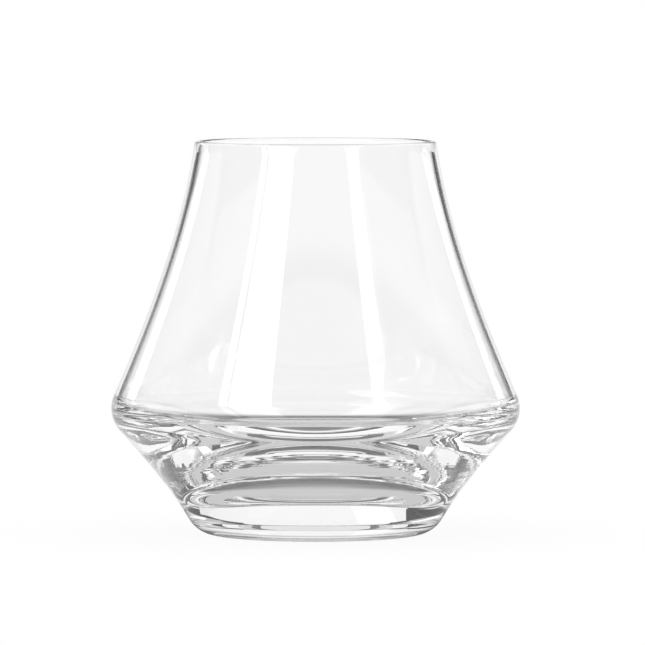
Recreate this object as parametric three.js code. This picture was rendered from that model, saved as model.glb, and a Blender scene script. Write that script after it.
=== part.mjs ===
// Tumbler-shaped cognac glass: a wide, low belly that draws in to a narrow rim,
// standing on a heavy solid foot. Millimetres, +Z up, origin at the centre of the
// resting face. Both pieces are turned about the Z axis.

import * as THREE from 'three';

// Outside of the bowl. Leans are degrees from upright, always positive.
const HEIGHT = 88;
const RIM_RADIUS = 27.05;
const RIM_LEAN = 8.5;
const SHOULDER_LEAN = 23.7;
const BELLY_RADIUS = 45.7;
const BELLY_HEIGHT = 28.25;
const BELLY_ROUNDING = 7.4;
const TAPER_LEAN = 41.5;

// Foot. The bowl is fused to it on a flat seam.
const FOOT_THICKNESS = 7;
const SEAM_RADIUS = 30.63;
const FOOT_LEAN = 33;
const HEEL_ROUNDING = 7.1;
const PUNT_RADIUS = 17.5;
const PUNT_DEPTH = 0.9;

// Glass thickness: at the rim, straight through the wall just above the belly, level at
// the widest part, and between the seam and the inside.
const RIM_WALL = 1.3;
const SHOULDER_WALL = 0.78;
const BELLY_WALL = 1.2;
const BOWL_BOTTOM = 4.6;

// Inside of the bowl: below the widest part it closes in to a round-bottomed well.
const CAVITY_BELLY_ROUNDING = 3.5;
const WELL_LEAN = 56;
const WELL_FLOOR_RADIUS = 15;
const WELL_ROUNDING = 18;

// Fineness of the turned surfaces, and how close two points count as one.
const TURN_STEPS = 64;
const WALL_STEPS = 8;
const ROUNDING_STEPS = 6;
const LIP_STEPS = 4;
const SAME_POINT = 1e-6;

const radians = THREE.MathUtils.degToRad;

// Direction along a wall, upwards, for a signed lean: positive leans outwards.
function upwards(lean) {
  return new THREE.Vector2(Math.sin(radians(lean)), Math.cos(radians(lean)));
}

// Direction straight out of a wall with that lean.
function outwards(lean) {
  return new THREE.Vector2(Math.cos(radians(lean)), -Math.sin(radians(lean)));
}

function onRounding(centre, radius, lean) {
  return centre.clone().addScaledVector(outwards(lean), radius);
}

// Rounded corner between two leans, followed upwards.
function rounding(centre, radius, leanBelow, leanAbove, steps) {
  const points = [];
  for (let i = 0; i <= steps; i += 1) {
    const lean = THREE.MathUtils.lerp(leanBelow, leanAbove, i / steps);
    points.push(onRounding(centre, radius, lean));
  }
  return points;
}

// Gently bowed wall from one point up to another, with its lean at each end.
function wall(from, leanBelow, to, leanAbove) {
  const reach = from.distanceTo(to) / 3;
  const curve = new THREE.CubicBezierCurve(
    from,
    from.clone().addScaledVector(upwards(leanBelow), reach),
    to.clone().addScaledVector(upwards(leanAbove), -reach),
    to,
  );
  return curve.getPoints(WALL_STEPS);
}

// One side of the bowl, from its lowest point up to the rim.
function bowlSide({ start, startLean, belly, bellyRounding, taperLean, rim }) {
  const bellyLow = onRounding(belly, bellyRounding, taperLean);
  const bellyHigh = onRounding(belly, bellyRounding, -SHOULDER_LEAN);
  return [
    ...wall(start, startLean, bellyLow, taperLean),
    ...rounding(belly, bellyRounding, taperLean, -SHOULDER_LEAN, ROUNDING_STEPS),
    ...wall(bellyHigh, -SHOULDER_LEAN, rim, -RIM_LEAN),
  ];
}

// Solid turned about Z from an outline of (radius, height) points that starts and
// ends on the axis and keeps the glass on its left.
function turned(name, outline, material) {
  const isNew = (point, i) => i === 0 || point.distanceTo(outline[i - 1]) > SAME_POINT;
  const points = outline.filter(isNew);
  const geometry = new THREE.LatheGeometry(points, TURN_STEPS);
  geometry.rotateX(Math.PI / 2);
  const mesh = new THREE.Mesh(geometry, material);
  mesh.name = name;
  return mesh;
}

function clearGlass() {
  return new THREE.MeshStandardMaterial({
    color: '#f3f5f4',
    roughness: 0.02,
    metalness: 0,
    transparent: true,
    opacity: 0.35,
  });
}

// Foot: a solid disc with a tapered side, a rounded heel, a flat resting ring and
// a shallow hollow in the middle of its underside.
function makeFoot() {
  const seam = new THREE.Vector2(SEAM_RADIUS, FOOT_THICKNESS);
  const side = radians(FOOT_LEAN);
  const drop = FOOT_THICKNESS - HEEL_ROUNDING;
  const restRadius = SEAM_RADIUS - (HEEL_ROUNDING + drop * Math.sin(side)) / Math.cos(side);
  const heel = new THREE.Vector2(restRadius, HEEL_ROUNDING);
  const puntRounding = (PUNT_RADIUS ** 2 + PUNT_DEPTH ** 2) / (2 * PUNT_DEPTH);
  const puntCentre = new THREE.Vector2(0, PUNT_DEPTH - puntRounding);
  const puntEdgeLean = -90 + THREE.MathUtils.radToDeg(Math.asin(PUNT_RADIUS / puntRounding));
  const outline = [
    ...rounding(puntCentre, puntRounding, -90, puntEdgeLean, ROUNDING_STEPS),
    ...rounding(heel, HEEL_ROUNDING, 90, FOOT_LEAN, ROUNDING_STEPS),
    seam,
    new THREE.Vector2(0, FOOT_THICKNESS),
  ];
  outline[0].x = 0;
  return turned('foot', outline, clearGlass());
}

// Centre of the inner belly rounding, set by the wall at the widest part and by the
// wall just above it.
function cavityBelly(belly) {
  const across = outwards(-SHOULDER_LEAN);
  const radius = BELLY_RADIUS - BELLY_WALL - CAVITY_BELLY_ROUNDING;
  const reach = belly.dot(across) + BELLY_ROUNDING - SHOULDER_WALL - CAVITY_BELLY_ROUNDING;
  return new THREE.Vector2(radius, (reach - radius * across.x) / across.y);
}

// Bowl: its own bottom lies on the foot, and the wall thickens again to a
// fire-rounded lip.
function makeBowl() {
  const floorHeight = FOOT_THICKNESS + BOWL_BOTTOM;
  const lip = RIM_WALL / 2;
  const lipCentre = new THREE.Vector2(RIM_RADIUS - lip, HEIGHT - lip);
  const lipInnerLean = -180 - RIM_LEAN;
  const belly = new THREE.Vector2(BELLY_RADIUS - BELLY_ROUNDING, BELLY_HEIGHT);
  const outside = bowlSide({
    start: new THREE.Vector2(SEAM_RADIUS, FOOT_THICKNESS),
    startLean: FOOT_LEAN,
    belly,
    bellyRounding: BELLY_ROUNDING,
    taperLean: TAPER_LEAN,
    rim: onRounding(lipCentre, lip, -RIM_LEAN),
  });
  const wellCorner = new THREE.Vector2(WELL_FLOOR_RADIUS, floorHeight + WELL_ROUNDING);
  const inside = [
    ...rounding(wellCorner, WELL_ROUNDING, 90, WELL_LEAN, ROUNDING_STEPS),
    ...bowlSide({
      start: onRounding(wellCorner, WELL_ROUNDING, WELL_LEAN),
      startLean: WELL_LEAN,
      belly: cavityBelly(belly),
      bellyRounding: CAVITY_BELLY_ROUNDING,
      taperLean: WELL_LEAN,
      rim: onRounding(lipCentre, lip, lipInnerLean),
    }),
  ];
  const outline = [
    new THREE.Vector2(0, FOOT_THICKNESS),
    ...outside,
    ...rounding(lipCentre, lip, -RIM_LEAN, lipInnerLean, LIP_STEPS),
    ...inside.reverse(),
    new THREE.Vector2(0, floorHeight),
  ];
  return turned('bowl', outline, clearGlass());
}

const glass = new THREE.Group();
glass.add(makeFoot(), makeBowl());

export default glass;
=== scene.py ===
# %% [markdown]
# # A stemless cognac glass
# The object is a drinking glass without a stem: a thin bowl with a wide, low belly and a
# narrow rim, fused to a heavy solid foot. It is all one clear material, so its look comes
# from how it bends and mirrors the light around it. The lesson makes two exact turned
# pieces, gives them one glass finish, and then builds a small studio whose white and dark
# fields draw the lines in the glass.

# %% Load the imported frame
import math

import bmesh
import bpy
from mathutils import Matrix, Vector, noise
from mathutils.geometry import interpolate_bezier


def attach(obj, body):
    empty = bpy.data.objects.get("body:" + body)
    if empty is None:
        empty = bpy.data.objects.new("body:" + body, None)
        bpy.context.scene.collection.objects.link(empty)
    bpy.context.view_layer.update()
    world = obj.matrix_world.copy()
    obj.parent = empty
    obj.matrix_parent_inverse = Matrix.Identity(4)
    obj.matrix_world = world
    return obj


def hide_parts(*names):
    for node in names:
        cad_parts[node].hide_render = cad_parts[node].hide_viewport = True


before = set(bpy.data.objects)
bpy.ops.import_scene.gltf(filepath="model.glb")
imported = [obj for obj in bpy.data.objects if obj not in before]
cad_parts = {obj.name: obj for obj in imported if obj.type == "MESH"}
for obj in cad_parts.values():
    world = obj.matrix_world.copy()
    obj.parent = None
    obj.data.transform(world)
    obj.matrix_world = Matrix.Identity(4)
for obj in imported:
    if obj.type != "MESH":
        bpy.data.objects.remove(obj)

scene = bpy.context.scene
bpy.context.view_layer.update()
print("solids to dress:", sorted(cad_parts))

# %% [markdown]
# ## Outlines
# Every level cut through the glass is a circle, so each piece is an outline in the XZ plane
# that is turned about the Z axis. An outline could be drawn as a curve object, but here it is
# a list of points from two small helpers: a rounding is part of a circle, and a wall is a
# gentle Bezier curve with a given lean at each end. Leans are degrees from upright, positive
# where a wall leans outwards as it goes up.

# %% Outline helpers
def upwards(lean):
    """Unit step up a wall."""
    angle = math.radians(lean)
    return Vector((math.sin(angle), 0, math.cos(angle)))


def outwards(lean):
    """Unit step straight out of a wall."""
    angle = math.radians(lean)
    return Vector((math.cos(angle), 0, -math.sin(angle)))


def rounding(centre, radius, first_lean, last_lean, steps):
    """Part of a circle, between two leans."""
    leans = [first_lean + (last_lean - first_lean) * i / steps for i in range(steps + 1)]
    return [centre + radius * outwards(lean) for lean in leans]


def wall(low, low_lean, high, high_lean, steps):
    """Gently bowed wall, from its lower end to its upper end."""
    reach = (high - low).length / 3
    low_handle = low + reach * upwards(low_lean)
    high_handle = high - reach * upwards(high_lean)
    return interpolate_bezier(low, low_handle, high_handle, high, steps + 1)


# %% [markdown]
# ## From an outline to a piece
# `spin` sweeps the outline round a full circle, and `use_merge` joins its last copy to the
# first. Points on the axis are then swept onto themselves, so doubles are merged, and after
# that the faces are turned to point out of the glass. A real glass is never quite even: each
# outline point carries how uneven the surface is there, `spin` copies that number to every
# point it makes, and a smooth noise that is long round the glass and short up the wall then
# moves the points in or out by a few thousandths of a millimetre. That is far too little to
# show in the outline, but thick glass makes it plain as streaks.

# %% Turn an outline
MM = 0.001
TURN_STEPS = 224
SAME_POINT = 0.0001 * MM
RIPPLES_ROUND = 0.5
RIPPLES_UP = 2200
FINE_RIPPLES = 2.1
FINE_SHARE = 0.5


def turned(outline, unevenness):
    """Closed bmesh turned from outline points, with an unevenness in metres for each."""
    shell = bmesh.new()
    uneven = shell.verts.layers.float.new("uneven")
    points = [shell.verts.new(point) for point in outline]
    for point, amount in zip(points, unevenness):
        point[uneven] = amount
    edges = [shell.edges.new(pair) for pair in zip(points, points[1:])]
    bmesh.ops.spin(
        shell, geom=points + edges, cent=(0, 0, 0), axis=(0, 0, 1), angle=math.tau,
        steps=TURN_STEPS, use_merge=True, use_duplicate=False,
    )
    bmesh.ops.remove_doubles(shell, verts=shell.verts, dist=SAME_POINT)
    bmesh.ops.recalc_face_normals(shell, faces=shell.faces)
    for point in shell.verts:
        if point[uneven]:
            round_about = Vector((point.co.x, point.co.y, 0)).normalized() * RIPPLES_ROUND
            place = round_about + Vector((0, 0, point.co.z * RIPPLES_UP))
            wave = noise.noise(place) + FINE_SHARE * noise.noise(FINE_RIPPLES * place)
            point.co += point.normal * point[uneven] * wave
    return shell


# %% [markdown]
# ## The foot
# The foot is a thick disc of glass with a tapered side and a well rounded heel. It stands on
# a flat ring, and the middle of its underside is a shallow hollow, so that the glass doesn't
# rock. Its flat top is the seam where it is fused to the bowl.

# %% Outline of the foot
FOOT_THICKNESS = 7 * MM
SEAM_RADIUS = 30.63 * MM
FOOT_LEAN = 33
HEEL_ROUNDING = 7.1 * MM
PUNT_RADIUS = 17.5 * MM
PUNT_DEPTH = 0.9 * MM
FOOT_STEPS = 24

foot_side = math.radians(FOOT_LEAN)
heel_drop = FOOT_THICKNESS - HEEL_ROUNDING
rest_radius = SEAM_RADIUS - (HEEL_ROUNDING + heel_drop * math.sin(foot_side)) / math.cos(foot_side)
punt_rounding = (PUNT_RADIUS**2 + PUNT_DEPTH**2) / (2 * PUNT_DEPTH)
punt_centre = Vector((0, 0, PUNT_DEPTH - punt_rounding))
punt_edge_lean = -90 + math.degrees(math.asin(PUNT_RADIUS / punt_rounding))
heel_centre = Vector((rest_radius, 0, HEEL_ROUNDING))
seam_edge = Vector((SEAM_RADIUS, 0, FOOT_THICKNESS))
seam_middle = Vector((0, 0, FOOT_THICKNESS))

foot_outline = [
    *rounding(punt_centre, punt_rounding, -90, punt_edge_lean, FOOT_STEPS),
    *rounding(heel_centre, HEEL_ROUNDING, 90, FOOT_LEAN, FOOT_STEPS),
    seam_edge,
    seam_middle,
]
foot_outline[0].x = 0
foot_shell = turned(foot_outline, [0] * len(foot_outline))
print("foot:", len(foot_shell.faces), "faces, rests on a ring out to", round(rest_radius, 4), "m")

# %% [markdown]
# ## The bowl
# The bowl leaves the seam with the lean of the foot, opens to the belly, turns over a small
# rounding and draws in to the rim. The lip is a half circle, as a flame leaves it. Inside, the
# wall is thin down to the belly and then departs from the outside: it closes in to a small
# round well, which leaves the thick base that makes the glass heavy.

# %% Outside and lip of the bowl
HEIGHT = 88 * MM
RIM_RADIUS = 27.05 * MM
RIM_LEAN = 8.5
SHOULDER_LEAN = 23.7
BELLY_RADIUS = 45.7 * MM
BELLY_HEIGHT = 28.25 * MM
BELLY_ROUNDING = 7.4 * MM
TAPER_LEAN = 41.5
RIM_WALL = 1.3 * MM
SIDE_STEPS = 32
LIP_STEPS = 16

lip_rounding = RIM_WALL / 2
lip_centre = Vector((RIM_RADIUS - lip_rounding, 0, HEIGHT - lip_rounding))
belly_centre = Vector((BELLY_RADIUS - BELLY_ROUNDING, 0, BELLY_HEIGHT))
belly = rounding(belly_centre, BELLY_ROUNDING, TAPER_LEAN, -SHOULDER_LEAN, SIDE_STEPS)
lip = rounding(lip_centre, lip_rounding, -RIM_LEAN, -180 - RIM_LEAN, LIP_STEPS)
outside = [
    *wall(seam_edge, FOOT_LEAN, belly[0], TAPER_LEAN, SIDE_STEPS),
    *belly,
    *wall(belly[-1], -SHOULDER_LEAN, lip[0], -RIM_LEAN, SIDE_STEPS),
]
print("outside of the bowl:", len(outside), "points, widest", round(2 * BELLY_RADIUS, 4), "m")

# %% Inside of the bowl
SHOULDER_WALL = 0.78 * MM
BELLY_WALL = 1.2 * MM
CAVITY_ROUNDING = 3.5 * MM
WELL_LEAN = 56
FLOOR_HEIGHT = 11.6 * MM
FLOOR_RADIUS = 15 * MM
WELL_ROUNDING = 18 * MM
WELL_STEPS = 150
FLOOR_STEPS = 12

across_shoulder = outwards(-SHOULDER_LEAN)
cavity_radius = BELLY_RADIUS - BELLY_WALL - CAVITY_ROUNDING
cavity_reach = belly[-1].dot(across_shoulder) - SHOULDER_WALL - CAVITY_ROUNDING
cavity_height = (cavity_reach - cavity_radius * across_shoulder.x) / across_shoulder.z
cavity_centre = Vector((cavity_radius, 0, cavity_height))
cavity_belly = rounding(cavity_centre, CAVITY_ROUNDING, WELL_LEAN, -SHOULDER_LEAN, SIDE_STEPS)
well_centre = Vector((FLOOR_RADIUS, 0, FLOOR_HEIGHT + WELL_ROUNDING))
well_corner = rounding(well_centre, WELL_ROUNDING, 90, WELL_LEAN, SIDE_STEPS)
floor_points = [
    Vector((FLOOR_RADIUS * i / FLOOR_STEPS, 0, FLOOR_HEIGHT)) for i in range(FLOOR_STEPS)
]
inside = [
    *floor_points,
    *well_corner,
    *wall(well_corner[-1], WELL_LEAN, cavity_belly[0], WELL_LEAN, WELL_STEPS),
    *cavity_belly,
    *wall(cavity_belly[-1], -SHOULDER_LEAN, lip[-1], -RIM_LEAN, SIDE_STEPS),
]
print("inside of the bowl:", len(inside), "points, floor at", round(FLOOR_HEIGHT, 4), "m")

# %% Turn the bowl
UNEVEN_WELL = 0.006 * MM
UNEVEN_FROM = FLOOR_HEIGHT + 1 * MM
UNEVEN_TO = cavity_height - 7 * MM
UNEVEN_FADE = 3 * MM


def well_unevenness(point):
    """How far the inside may be out of true here: only in the well, fading at its ends."""
    into = min(point.z - UNEVEN_FROM, UNEVEN_TO - point.z) / UNEVEN_FADE
    return UNEVEN_WELL * max(0, min(1, into))


bowl_outline = [seam_middle, *outside, *lip, *reversed(inside)]
bowl_unevenness = [
    *[0] * (1 + len(outside) + len(lip)),
    *[well_unevenness(point) for point in reversed(inside)],
]
bowl_shell = turned(bowl_outline, bowl_unevenness)
print("bowl:", len(bowl_shell.faces), "faces")

# %% [markdown]
# ## Shader maths
# A finish is a small net of nodes. To read like a sum, a wire between nodes is wrapped in a
# class that takes part in Python expressions: `1 - mask` adds a Math node by itself. Every
# other node comes from the method `make`, which sets the node up first and then fills its
# sockets with values or wires.

# %% A wire that can be calculated with
class Wire:
    """The output of a node, or just its tree before there is one."""

    def __init__(self, tree, socket=None):
        self.tree = tree
        self.socket = socket

    def make(self, kind, sockets, settings=(), output=0):
        """New node of a kind: settings first, then the value or wire of each socket."""
        node = self.tree.nodes.new(kind)
        for name, value in dict(settings).items():
            setattr(node, name, value)
        for name, value in sockets.items():
            if isinstance(value, Wire):
                self.tree.links.new(value.socket, node.inputs[name])
            else:
                node.inputs[name].default_value = value
        return Wire(self.tree, node.outputs[output]) if node.outputs else self

    def maths(self, operation, *others):
        """Math node with this wire as its first term."""
        terms = dict(enumerate((self, *others)))
        return self.make("ShaderNodeMath", terms, {"operation": operation})

    def __add__(self, other):
        return self.maths("ADD", other)

    __radd__ = __add__

    def __sub__(self, other):
        return self.maths("SUBTRACT", other)

    def __rsub__(self, other):
        return self.make("ShaderNodeMath", {0: other, 1: self}, {"operation": "SUBTRACT"})

    def __mul__(self, other):
        return self.maths("MULTIPLY", other)

    __rmul__ = __mul__


def empty_tree(owner):
    """A wire into the cleared node tree of a material or world."""
    owner.use_nodes = True
    owner.node_tree.nodes.clear()
    return Wire(owner.node_tree)


def soft_step(net, value, span, first, last):
    """Smooth change from first to last while the value crosses a span."""
    return net.make(
        "ShaderNodeMapRange",
        {"Value": value, "From Min": span[0], "From Max": span[1], "To Min": first, "To Max": last},
        {"interpolation_type": "SMOOTHSTEP"},
    )


# %% [markdown]
# ## Clear glass
# The real finish is polished soda-lime glass: clear, with a refractive index of 1.52 and no colour to
# speak of. Two things keep it from looking like a formula. Handling leaves the polish a trace softer in
# cloudy patches, and the melt leaves faint cords, drawn round the piece as it was spun, which sway the
# mirror images a little. Both come from noise on Object coordinates, so they stay on the glass. Light
# that enters at a glancing angle runs a long way inside the wall and loses some strength. On top of
# that small real loss, the tint is painted much darker at those angles, a painted shade that draws a
# thin grey line round the glass from every side. Layer Weight finds those angles. The index and the
# transmission are the same all over, so they are plain values on the shader.

# %% Finish of the glass
GLASS_INDEX = 1.52
GLASS_TINT = (0.992, 0.992, 0.992, 1)
PURE_CLEAR = (1, 1, 1, 1)
CLOUDS_PER_METRE = 55
CORDS_PER_METRE = 30
CORD_FLATTEN = (1, 1, 9)
SOFTEST_POLISH = 0.015
CORD_HEIGHT = 0.004 * MM
EVEN_BLEND = 0.5
EDGE_PAINTED_SHADE = (0.22, 0.22, 0.22, 1)
EDGE_SPAN = (0.74, 0.95)
MIX_FACTOR, MIX_FIRST, MIX_SECOND, MIX_COLOUR = 0, 6, 7, 2


def make_clear_glass():
    """Polished clear glass, a trace uneven, with painted shade where it is seen edge on."""
    material = bpy.data.materials.new("clear_glass_polished")
    net = empty_tree(material)
    place = net.make("ShaderNodeTexCoord", {}, output="Object")
    clouds = net.make("ShaderNodeTexNoise", {"Vector": place, "Scale": CLOUDS_PER_METRE, "Detail": 3})
    flattened = net.make("ShaderNodeMapping", {"Vector": place, "Scale": CORD_FLATTEN})
    cords = net.make("ShaderNodeTexNoise", {"Vector": flattened, "Scale": CORDS_PER_METRE, "Detail": 2})
    tint = net.make(
        "ShaderNodeMix",
        {MIX_FACTOR: clouds, MIX_FIRST: PURE_CLEAR, MIX_SECOND: GLASS_TINT},
        {"data_type": "RGBA"},
        output=MIX_COLOUR,
    )
    # painted shade: the tint turns dark grey where the glass is seen edge on, which draws its outline
    slant = net.make("ShaderNodeLayerWeight", {"Blend": EVEN_BLEND}, output="Facing")
    painted_edge_shade = soft_step(net, slant, EDGE_SPAN, 0, 1)
    tint = net.make(
        "ShaderNodeMix",
        {MIX_FACTOR: painted_edge_shade, MIX_FIRST: tint, MIX_SECOND: EDGE_PAINTED_SHADE},
        {"data_type": "RGBA"},
        output=MIX_COLOUR,
    )
    sway = net.make("ShaderNodeBump", {"Height": cords, "Distance": CORD_HEIGHT})
    glass = net.make(
        "ShaderNodeBsdfPrincipled",
        {
            "Base Color": tint,
            "Roughness": clouds * SOFTEST_POLISH,
            "Normal": sway,
            "IOR": GLASS_INDEX,
            "Transmission Weight": 1,
        },
    )
    net.make("ShaderNodeOutputMaterial", {"Surface": glass})
    return material


clear_glass = make_clear_glass()
print("finish:", clear_glass.name, "with", len(clear_glass.node_tree.nodes), "nodes")

# %% [markdown]
# ## The fused seam
# Bowl and foot are separate pieces here, and each is closed by its own seam face. On the real
# glass they are melted into one, so light crosses the seam without bending. If the seam wore
# the glass finish, it would act as a thin gap of air and mirror like a coin in water. Its
# faces get a clear finish of their own that lets every ray straight through.

# %% Finish of the seam
def make_fused_seam():
    """Finish of a face that light crosses without bending."""
    material = bpy.data.materials.new("fused_seam")
    net = empty_tree(material)
    straight_through = net.make("ShaderNodeBsdfTransparent", {})
    net.make("ShaderNodeOutputMaterial", {"Surface": straight_through})
    return material


fused_seam = make_fused_seam()
print("finish:", fused_seam.name)

# %% [markdown]
# ## Pieces from the shells
# A shell becomes a piece once it has an object and its two finishes. Faces are shaded smooth, because a
# faceted glass would break up everything seen through it, but the sharp edge round the seam is marked
# so that the smoothing stops there. Each piece rides on the one body of the frame and stands for its
# solid, which is hidden.

# %% Make the pieces
SEAM_TOLERANCE = 0.001 * MM


def on_seam(face):
    """Whether a face lies in the plane where foot and bowl meet."""
    return all(abs(point.co.z - FOOT_THICKNESS) < SEAM_TOLERANCE for point in face.verts)


def make_piece(name, shell, solid):
    """Turns a shell into a finished piece that stands for a solid of the frame."""
    for face in shell.faces:
        face.smooth = True
        face.material_index = 1 if on_seam(face) else 0
    for edge in shell.edges:
        edge.smooth = len({face.material_index for face in edge.link_faces}) == 1
    mesh = bpy.data.meshes.new(name)
    shell.to_mesh(mesh)
    shell.free()
    mesh.materials.append(clear_glass)
    mesh.materials.append(fused_seam)
    piece = bpy.data.objects.new(name, mesh)
    scene.collection.objects.link(piece)
    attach(piece, "root")
    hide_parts(solid)
    print(name, "stands for", solid, "with", len(mesh.polygons), "faces")
    return piece


foot_glass = make_piece("foot_glass", foot_shell, "foot")
bowl_glass = make_piece("bowl_glass", bowl_shell, "bowl")

# %% [markdown]
# ## Camera
# The view is almost level and from far away with a long lens, as for a catalogue, so the rim
# shows as a thin ellipse. The camera looks a few millimetres past the axis, which puts the
# glass where the photograph has it. All directions in the studio are counted from a pivot
# halfway up the glass.

# %% Place the camera
PIVOT = Vector((0, 0, 44.73 * MM))
AIM = Vector((1.565 * MM, 0, 47.37 * MM))
CAMERA_DISTANCE = 1.8187
CAMERA_ELEVATION = 3.08
LENS = 453.9
SENSOR = 36
FARTHEST_SEEN = 10


def towards(azimuth, elevation):
    """Unit step from the glass: azimuth in degrees from the camera's side, positive to its right."""
    turn, rise = math.radians(azimuth), math.radians(elevation)
    return Vector((math.sin(turn) * math.cos(rise), -math.cos(turn) * math.cos(rise), math.sin(rise)))


camera_data = bpy.data.cameras.new("camera")
camera_data.lens = LENS
camera_data.sensor_width = SENSOR
camera_data.clip_end = FARTHEST_SEEN
camera = bpy.data.objects.new("camera", camera_data)
scene.collection.objects.link(camera)
camera.location = PIVOT + CAMERA_DISTANCE * towards(0, CAMERA_ELEVATION)
camera.rotation_euler = (AIM - camera.location).to_track_quat("-Z", "Y").to_euler()
scene.camera = camera
print("camera at", [round(v, 3) for v in camera.location])

# %% [markdown]
# ## Floor
# The glass stands on a pale round table top. The camera sees it white, as the photograph has
# it, apart from a soft trace of the glass's own shadow close to the foot. Through the glass
# the table shows what a foot does to the light on it: a dim patch right under the foot, and a
# dark ring where foot and table meet, which fades out a few centimetres further on. Traced
# light would need very many samples to find its way under thick glass, so both are painted
# by distance from the axis.

# %% Finish of the floor
TABLE_COLOUR = (0.88, 0.88, 0.88, 1)
SHADOW_REACH = 0.09
SHADOW_SHARE = 0.07
FOOT_REACH = (0.025, 0.06)
FOOT_LIGHT = 0.62
RING_INNER = (0.0215, 0.0255)
RING_OUTER = (0.027, 0.055)
RING_SHADE = 0.75


def make_pale_table():
    """White to the camera, white with painted shade round the foot through the glass and in mirror
    images, a plain pale surface to all other light.
    """
    material = bpy.data.materials.new("pale_table")
    net = empty_tree(material)
    place = net.make("ShaderNodeTexCoord", {}, output="Object")
    away = net.make("ShaderNodeVectorMath", {0: place}, {"operation": "LENGTH"}, output="Value")
    # painted shade seen through the glass and in mirror images: a dim patch under the foot and a dark
    # ring round it
    lit = soft_step(net, away, FOOT_REACH, FOOT_LIGHT, 1)
    ring = soft_step(net, away, RING_INNER, 0, RING_SHADE) * soft_step(net, away, RING_OUTER, 1, 0)
    lit = lit * (1 - ring)
    seen = net.make("ShaderNodeLightPath", {}, output="Is Camera Ray")
    mirrored = net.make("ShaderNodeLightPath", {}, output="Is Glossy Ray")
    through = net.make("ShaderNodeLightPath", {}, output="Is Transmission Ray")
    shadow = soft_step(net, away, (0, SHADOW_REACH), SHADOW_SHARE, 0)
    share = (seen * (1 - shadow)).maths("MAXIMUM", mirrored).maths("MAXIMUM", through)
    # white to the camera; for glossy and transmission rays the emission carries the painted shade
    white = net.make("ShaderNodeEmission", {"Color": seen + (1 - seen) * lit, "Strength": 1})
    pale = net.make("ShaderNodeBsdfDiffuse", {"Color": TABLE_COLOUR})
    surface = net.make("ShaderNodeMixShader", {0: share, 1: pale, 2: white})
    net.make("ShaderNodeOutputMaterial", {"Surface": surface})
    return material


pale_table = make_pale_table()
print("finish:", pale_table.name, "with", len(pale_table.node_tree.nodes), "nodes")

# %% Lay the floor
TABLE_RADIUS = 0.6
TABLE_SIDES = 96

table_outline = bmesh.new()
bmesh.ops.create_circle(table_outline, cap_ends=True, segments=TABLE_SIDES, radius=TABLE_RADIUS)
table_mesh = bpy.data.meshes.new("table_top")
table_outline.to_mesh(table_mesh)
table_outline.free()
table_mesh.materials.append(pale_table)
table_top = bpy.data.objects.new("table_top", table_mesh)
scene.collection.objects.link(table_top)
print("table top:", TABLE_RADIUS, "m in radius")

# %% [markdown]
# ## White field behind the glass
# A clear glass is drawn by what stands behind it. A white panel behind the table fills the
# middle of the bowl with light. Below it a wider and lower one carries on the white of the
# table, as paper that curves up would, and fills the foot. The dark room between the tall
# panel and the side lights is bent into the thin dark lines along the edges.

# %% Make the white panels
PANEL_DISTANCE = 1.0


def make_panel(name, left_angle, right_angle, bottom, top):
    """White field behind the glass; angles to its sides, seen from the glass, and heights."""
    left = -PANEL_DISTANCE * math.tan(math.radians(left_angle))
    right = PANEL_DISTANCE * math.tan(math.radians(right_angle))
    middle = Vector(((left + right) / 2, PANEL_DISTANCE, (top + bottom) / 2))
    upright = Matrix.Rotation(math.radians(90), 4, "X")
    size = Matrix.Diagonal(((right - left) / 2, (top - bottom) / 2, 1, 1))
    outline = bmesh.new()
    bmesh.ops.create_grid(
        outline, x_segments=1, y_segments=1, size=1, matrix=Matrix.Translation(middle) @ upright @ size,
    )
    mesh = bpy.data.meshes.new(name)
    outline.to_mesh(mesh)
    outline.free()
    material = bpy.data.materials.new(name)
    net = empty_tree(material)
    net.make("ShaderNodeOutputMaterial", {"Surface": net.make("ShaderNodeEmission", {"Strength": 1})})
    mesh.materials.append(material)
    panel = bpy.data.objects.new(name, mesh)
    scene.collection.objects.link(panel)
    panel.visible_camera = False
    print(name, [round(v, 3) for v in panel.dimensions])


make_panel("tall_panel", left_angle=22.5, right_angle=21.5, bottom=0.125, top=0.53)
make_panel("low_panel", left_angle=29.5, right_angle=42, bottom=-0.2, top=0.125)

# %% [markdown]
# ## Soft boxes
# Each long pale band on the bowl is the mirror image of a soft box, and the even grey between
# the bands mirrors large, weak ones further away. A lamp is given by the directions of its
# lower and upper end, as seen from the glass, and by its width, its distance and its
# brightness, where 1 is the white of the panels. An area lamp's brightness is its power
# divided by its area and by pi, so the power follows from that.

# %% Hang the soft boxes
NEAR, FAR = 0.9, 1.5


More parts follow.
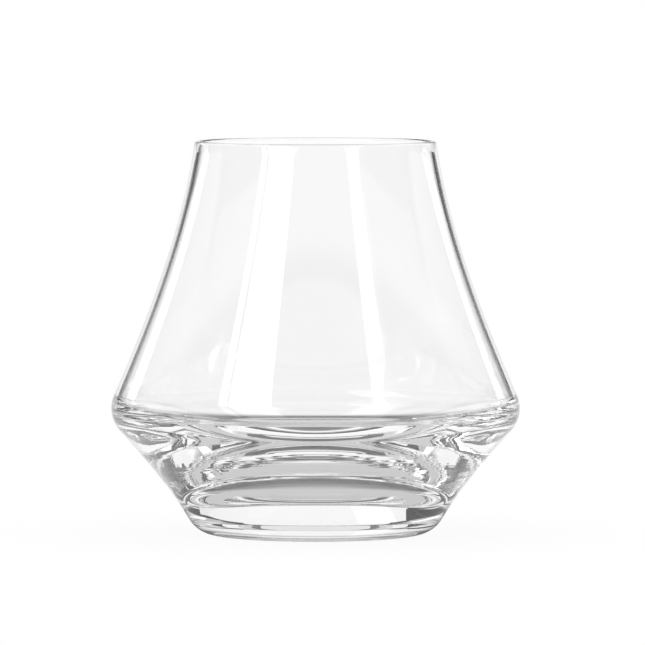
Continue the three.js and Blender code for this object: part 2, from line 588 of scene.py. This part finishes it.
def hang_soft_box(name, low, high, width, brightness, distance=NEAR):
    """Area lamp that faces the glass, between two directions given as azimuth and elevation."""
    bottom = distance * towards(*low)
    top = distance * towards(*high)
    middle = (bottom + top) / 2
    up = (top - bottom).normalized()
    away = (middle - middle.dot(up) * up).normalized()
    lamp = bpy.data.lights.new(name, "AREA")
    lamp.shape = "RECTANGLE"
    lamp.size = width
    lamp.size_y = (top - bottom).length
    lamp.energy = brightness * math.pi * lamp.size * lamp.size_y
    holder = bpy.data.objects.new(name, lamp)
    axes = Matrix((up.cross(away), up, away)).transposed().to_4x4()
    holder.matrix_world = Matrix.Translation(PIVOT + middle) @ axes
    scene.collection.objects.link(holder)
    print(name, round(lamp.size, 3), "by", round(lamp.size_y, 3), "m,", round(lamp.energy, 1), "W")


hang_soft_box("key_box", low=(-25, 3), high=(-56.7, 52), width=0.3, brightness=2.2)
hang_soft_box("key_side_strip", low=(-41.4, 3), high=(-74.3, 48), width=0.059, brightness=2.2)
hang_soft_box("right_strip", low=(30.6, 3), high=(44, 38), width=0.15, brightness=1.6)
hang_soft_box("back_left_strip", low=(-125, 6), high=(-146, 20), width=0.15, brightness=0.9)
hang_soft_box("back_right_strip", low=(124, 5), high=(140, 12), width=0.16, brightness=0.8)
hang_soft_box("front_fill", low=(0, 2), high=(0, 60), width=2.4, brightness=0.28, distance=FAR)
hang_soft_box("top_fill", low=(180, 57), high=(180, 75), width=1, brightness=0.75, distance=FAR)
for name, side in (("left", -1), ("right", 1)):
    side_low, side_high = (70 * side, 20), (70 * side, 55)
    back_low, back_high = (125 * side, 8), (125 * side, 50)
    hang_soft_box(name + "_side_fill", side_low, side_high, width=1.3, brightness=0.36, distance=FAR)
    hang_soft_box(name + "_back_fill", back_low, back_high, width=1.3, brightness=0.5, distance=FAR)

# %% [markdown]
# ## The room
# The camera sees a white background straight on, at a strength of 1. For every other ray the
# room is dim, so that the glass mirrors the lamps and little else.

# %% Light the room
ROOM_DIM = 0.1

room = bpy.data.worlds.new("room")
scene.world = room
net = empty_tree(room)
seen = net.make("ShaderNodeLightPath", {}, output="Is Camera Ray")
light = net.make("ShaderNodeBackground", {"Color": ROOM_DIM + (1 - ROOM_DIM) * seen, "Strength": 1})
net.make("ShaderNodeOutputWorld", {"Surface": light})

MOST_BOUNCES = 32
scene.cycles.max_bounces = MOST_BOUNCES
scene.cycles.glossy_bounces = MOST_BOUNCES
scene.cycles.transmission_bounces = MOST_BOUNCES
scene.cycles.transparent_max_bounces = MOST_BOUNCES
scene.view_settings.view_transform = "Standard"
print("room at", ROOM_DIM, "of white")
